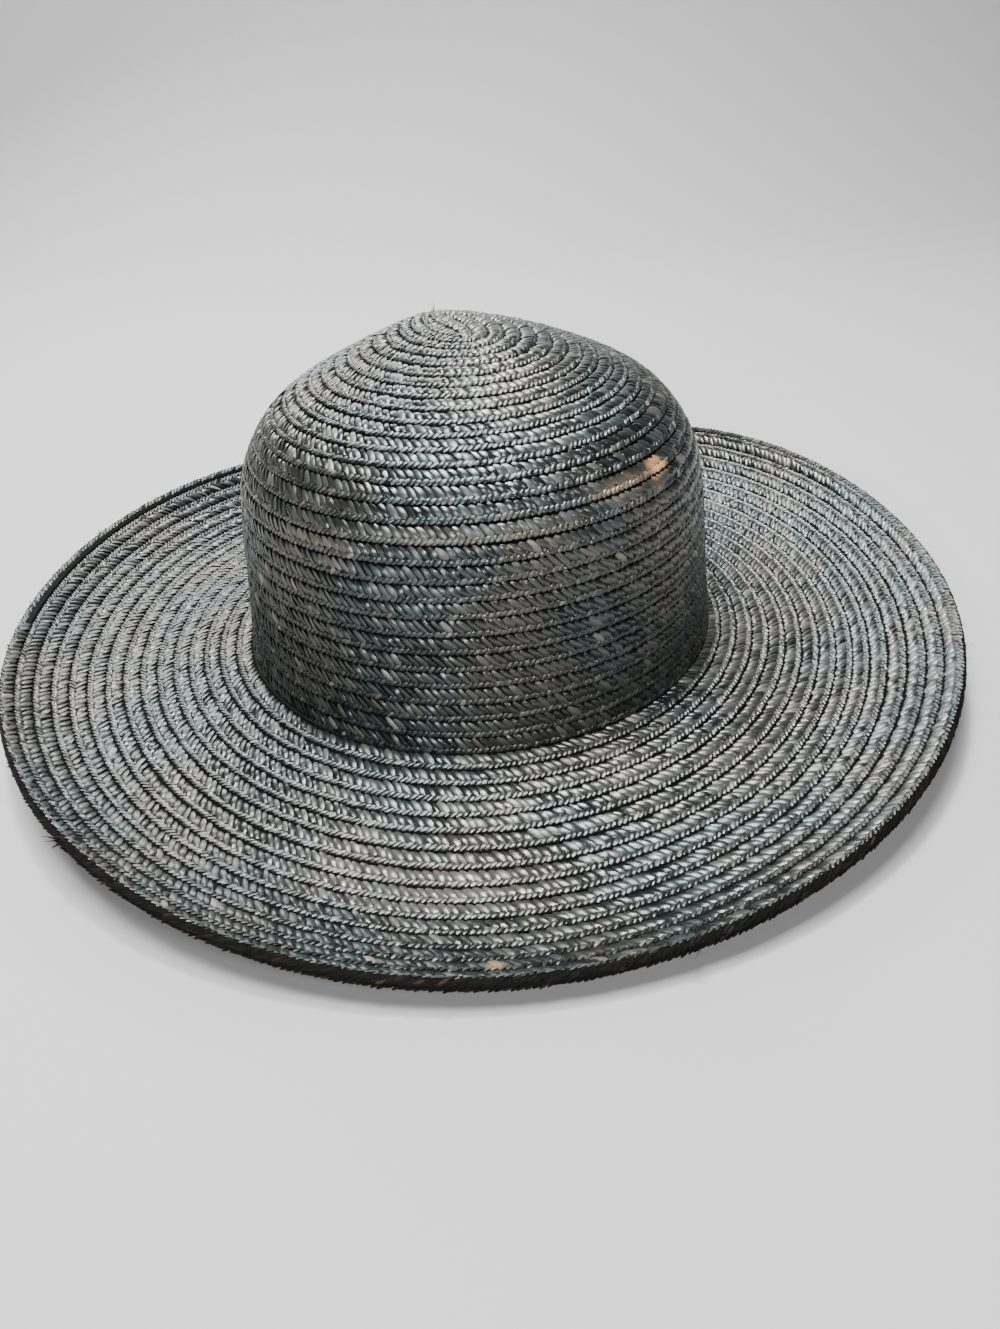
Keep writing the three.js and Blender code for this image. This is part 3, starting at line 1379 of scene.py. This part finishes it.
@dataclass
class EdgePlait(Part):
    """The round of plait under the rim, and the worn straw that shows along the edge, near-black as
    painted shade.

    Inset, width, section heights, offsets and lengths are millimetres, and the insets of the
    ends are courses. The frayed values are for the worn places, and the loose ones for the
    short ends that stand off the rim all round.
    """

    inset: float = 1.0
    width: float = 6.0
    steps: int = 240
    frayed_inset: float = 0.05
    frayed_around: float = 0.2
    loose_inset: float = 0.06
    loose_places: int = 170
    loose_count: int = 2
    loose_offset: tuple[float, float] = (-2.2, 0.2)
    loose_length: tuple[float, float] = (1.2, 2.4)
    loose_lean: Triple = (1.0, 0.5, 0.5)
    loose_seed: int = 12
    first_seed: int = 31
    section: Pairs = (
        (0.0, -2.05), (0.08, -1.95), (0.9, -1.95), (1.0, -2.15), (1.0, -2.8), (0.93, -3.0),
        (0.08, -3.0), (0.0, -2.85),
    )

    def _ring(self) -> Piece:
        """Sweeps the plait's section round the rim.

        Returns:
            The ring, without a finish.
        """
        shape = self.spiral.shape
        per_course = shape.brim_width / shape.brim_courses
        rim = shape.crown_courses + shape.brim_courses - self.inset / per_course
        angles = np.linspace(0, 2 * np.pi, self.steps, endpoint=False)
        share, offset = np.array(self.section).T
        angle, share = np.meshgrid(angles, share, indexing="ij")
        courses = rim - (1 - share) * self.width / per_course
        points = shape.place(courses, angle, np.broadcast_to(offset, angle.shape)) * MM
        index = np.arange(angle.size).reshape(angle.shape)
        down = np.roll(index, -1, axis=0)
        corners = [index, down, np.roll(down, -1, axis=1), np.roll(index, -1, axis=1)]
        faces = np.stack(corners, axis=-1).reshape(-1, 4)
        return mesh_object("edge_plait_core", points.reshape(-1, 3), faces)

    def _tufts(self, rim: float) -> list[Tuft]:
        """Places tufts where the rim is most worn, and short loose ends all round it.

        Args:
            rim: courses from the tip to the rim.

        Returns:
            The tufts.
        """
        frayed = rim - self.frayed_inset
        tufts = [
            Tuft(turns, frayed, offset, count, length, (1.0, lean, self.frayed_around))
            for turns, offset, count, length, lean in (
                (0.19, -0.2, 7, 4.2, 0.5),
                (0.205, -0.8, 5, 3.4, 0.1),
                (0.045, -2.4, 6, 3.6, -0.6),
                (-0.12, -1.2, 7, 4.0, -0.4),
                (-0.133, -0.4, 4, 3.0, 0.4),
                (-0.2, -0.2, 5, 3.4, 0.5),
                (0.12, -1.6, 4, 3.0, -0.4),
                (0.37, -0.4, 5, 3.4, 0.4),
                (-0.41, -1.0, 5, 3.6, 0.0),
            )
        ]
        dice = np.random.default_rng(self.loose_seed)
        for turns in np.sort(dice.random(self.loose_places)):
            offset = dice.uniform(*self.loose_offset)
            length = dice.uniform(*self.loose_length)
            place = (turns, rim - self.loose_inset, offset)
            tufts.append(Tuft(*place, self.loose_count, length, self.loose_lean))
        return tufts

    def build(self) -> list[Piece]:
        """Makes the ring, the strands along the edge and the leaves on its two faces.

        Returns:
            The pieces, the ring first.
        """
        core = self._ring()
        core.data.materials.append(GrooveShadeFinish("edge_groove").material())
        # Painted shade: this near-black copy of the straw is far darker than the leaves elsewhere.
        # It goes on the strands along the edge, the leaves under the edge plait and the rim's loose
        # ends, for the shade under the rolled rim. Its roughness and frayed ends are the straw's
        # own.
        worn = StrawFinish(
            "edge_straw_painted_shade",
            dark=(0.002, 0.002, 0.0018),
            middle=(0.004, 0.0034, 0.0028),
            cool=(0.009, 0.0075, 0.006),
            warm=(0.018, 0.013, 0.009),
            pale=(0.04, 0.028, 0.019),
            roughness=(0.6, 0.8),
            specular=0.12,
            density=1.5,
            wear=0.15,
        ).material()
        # Painted light: this copy of the straw is several times lighter than the leaves elsewhere.
        # It goes on the rim's top face, for the light that falls on the upturned rim.
        face = StrawFinish(
            "rim_straw_painted_light",
            dark=(0.02, 0.025, 0.023),
            middle=(0.06, 0.07, 0.068),
            cool=(0.13, 0.145, 0.14),
        ).material()
        rim = float(self.spiral.shape.crown_courses + self.spiral.shape.brim_courses)
        # Name, lane, finish, courses in from the rim, and millimetres off the guide surface.
        rows = (
            ("rim_top_leaves", RIM_FACE, face, 0.13, 0.3),
            ("rim_edge_strands_high", RIM_STRAND, worn, 0.02, -0.35),
            ("rim_edge_strands_middle", RIM_STRAND, worn, 0.0, -0.95),
            ("rim_edge_strands_low", RIM_STRAND, worn, 0.02, -1.5),
            ("edge_plait_strands_high", RIM_STRAND, worn, 0.14, -2.2),
            ("edge_plait_strands_low", RIM_STRAND, worn, 0.14, -2.8),
            ("edge_plait_under_leaves_outer", RIM_UNDER, worn, 0.4, -3.05),
            ("edge_plait_under_leaves_inner", WIDE_UNDER, worn, 0.82, -3.05),
        )
        pieces = [core]
        for seed, (name, lane, finish, inside, offset) in enumerate(rows, self.first_seed):
            ring = {"courses": rim - inside, "offset": offset, "on_edge": lane is RIM_STRAND}
            lane = replace(lane, seed=seed)
            row = RimRow(self.spiral, self.tree, name, lane, rim - 1, rim, **ring)
            pieces.append(row.build(finish))
        pieces.append(FrayedEnds(self.spiral, "rim_frayed_ends", self._tufts(rim)).build(worn))
        for piece in pieces:
            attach(piece, "root")
        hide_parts("edge_plait")
        return pieces


@dataclass
class Studio:
    """Camera, pale floor and soft lights.

    The camera's place is millimetres from the foot's middle and its angles are degrees. The
    floor's sizes are metres. A panel is its name, its place and size in metres and its watts.
    """

    camera_place: Triple = (6.04, -358.84, 200.68)
    pitch: float = 32.578
    yaw: float = 0.083
    roll: float = -3.352
    sensor_width: float = 36.0
    lens: float = 36.0
    floor_reach: float = 3.2
    floor_colour: Triple = (0.52, 0.51, 0.52)
    floor_roughness: float = 0.7
    wall_at: float = 1.5
    wall_top: float = 2.4
    bend: float = 0.7
    bend_steps: int = 16
    aim: Triple = (0.0, 0.0, 0.05)
    sky_colour: Triple = (0.95, 0.98, 1.0)
    sky_strength: float = 0.08
    panels: tuple[tuple[str, Triple, tuple[float, float], float], ...] = (
        ("top_panel", (-0.2, -0.1, 1.35), (0.55, 0.55), 29.0),
        ("back_panel", (-0.2, 1.2, 0.9), (1.6, 1.2), 8.0),
        ("overhead_spark_panel", (-0.05, 0.25, 1.3), (0.16, 0.16), 16.0),
        ("back_spark_panel", (-0.1, 0.95, 0.75), (0.2, 0.2), 4.0),
        ("back_left_panel", (-0.6, 0.95, 0.62), (0.3, 0.3), 4.0),
        ("front_left_panel", (-0.45, -1.15, 0.55), (0.2, 0.2), 9.0),
        ("front_right_panel", (0.5, -0.9, 0.8), (0.14, 0.14), 3.0),
    )

    def build(self, shape: HatShape) -> None:
        """Makes the camera, the floor and the lights.

        Args:
            shape: the hat that the camera looks at.
        """
        self._camera(shape)
        self._floor()
        for name, spot, size, power in self.panels:
            self._panel(name, spot, size, power)
        self._sky()

    def _camera(self, shape: HatShape) -> None:
        """Puts the camera where the photograph was taken from.

        Args:
            shape: the hat that the camera looks at.
        """
        pitch, yaw, roll = (math.radians(v) for v in (self.pitch, self.yaw, self.roll))
        level = math.cos(pitch)
        ahead = Vector((math.sin(yaw) * level, math.cos(yaw) * level, -math.sin(pitch)))
        right = Vector((math.cos(yaw), -math.sin(yaw), 0.0))
        upward = right.cross(ahead)
        right_rolled = math.cos(roll) * right + math.sin(roll) * upward
        up_rolled = -math.sin(roll) * right + math.cos(roll) * upward
        data = bpy.data.cameras.new("camera")
        data.sensor_fit = "HORIZONTAL"
        data.sensor_width = self.sensor_width
        data.lens = self.lens
        data.clip_start = 0.01
        data.clip_end = 20.0
        made = add_object("camera", data)
        turn = Matrix((right_rolled, up_rolled, -ahead)).transposed().to_4x4()
        spot = Vector(tuple(float(v) * MM for v in shape.foot + np.array(self.camera_place)))
        made.matrix_world = Matrix.Translation(spot) @ turn
        bpy.context.scene.camera = made

    def _floor(self) -> None:
        """Makes a pale floor that bends up into a wall far behind."""
        flat_end = self.wall_at - self.bend
        profile = [(-self.floor_reach, 0.0), (flat_end, 0.0)]
        for i in range(1, self.bend_steps + 1):
            turn = math.pi / 2 * i / self.bend_steps
            out, up = self.bend * math.sin(turn), self.bend - self.bend * math.cos(turn)
            profile.append((flat_end + out, up))
        profile.append((self.wall_at, self.wall_top))
        points = [(x, y, z) for y, z in profile for x in (-self.floor_reach, self.floor_reach)]
        faces = [(2 * i, 2 * i + 1, 2 * i + 3, 2 * i + 2) for i in range(len(profile) - 1)]
        made = mesh_object("floor", np.array(points), faces)
        finish, wiring, shader = new_material("pale_floor")
        colour = solid(self.floor_colour)
        wiring.feed(shader, {"Base Color": colour, "Roughness": self.floor_roughness})
        made.data.materials.append(finish)

    def _sky(self) -> None:
        """Adds a dim, even sky."""
        world = bpy.data.worlds.new("studio")
        world.use_nodes = True
        inputs = {"Color": solid(self.sky_colour), "Strength": self.sky_strength}
        Wiring(world.node_tree).feed(world.node_tree.nodes["Background"], inputs)
        bpy.context.scene.world = world

    def _panel(self, name: str, spot: Triple, size: tuple[float, float], power: float) -> None:
        """Adds one rectangular light that faces the hat.

        Args:
            name: the light's name.
            spot: its place in metres.
            size: its width and height in metres.
            power: its power in watts.
        """
        data = bpy.data.lights.new(name, "AREA")
        data.shape = "RECTANGLE"
        data.size, data.size_y = size
        data.energy = power
        made = add_object(name, data)
        turn = (Vector(self.aim) - Vector(spot)).to_track_quat("-Z", "Y").to_matrix().to_4x4()
        made.matrix_world = Matrix.Translation(Vector(spot)) @ turn


def main() -> None:
    """Builds the hat piece by piece, then the studio."""
    logging.basicConfig(level=logging.INFO, format="%(name)s: %(message)s")
    shape = HatShape()
    spiral = Spiral(shape, PlaitSection())
    tree = LeafRowTree()
    for part in (Crown(spiral, tree), Brim(spiral, tree), EdgePlait(spiral, tree)):
        for piece in part.build():
            log.info("%s: %d faces", piece.name, len(piece.data.polygons))
    Studio().build(shape)


if __name__ == "__main__":
    main()
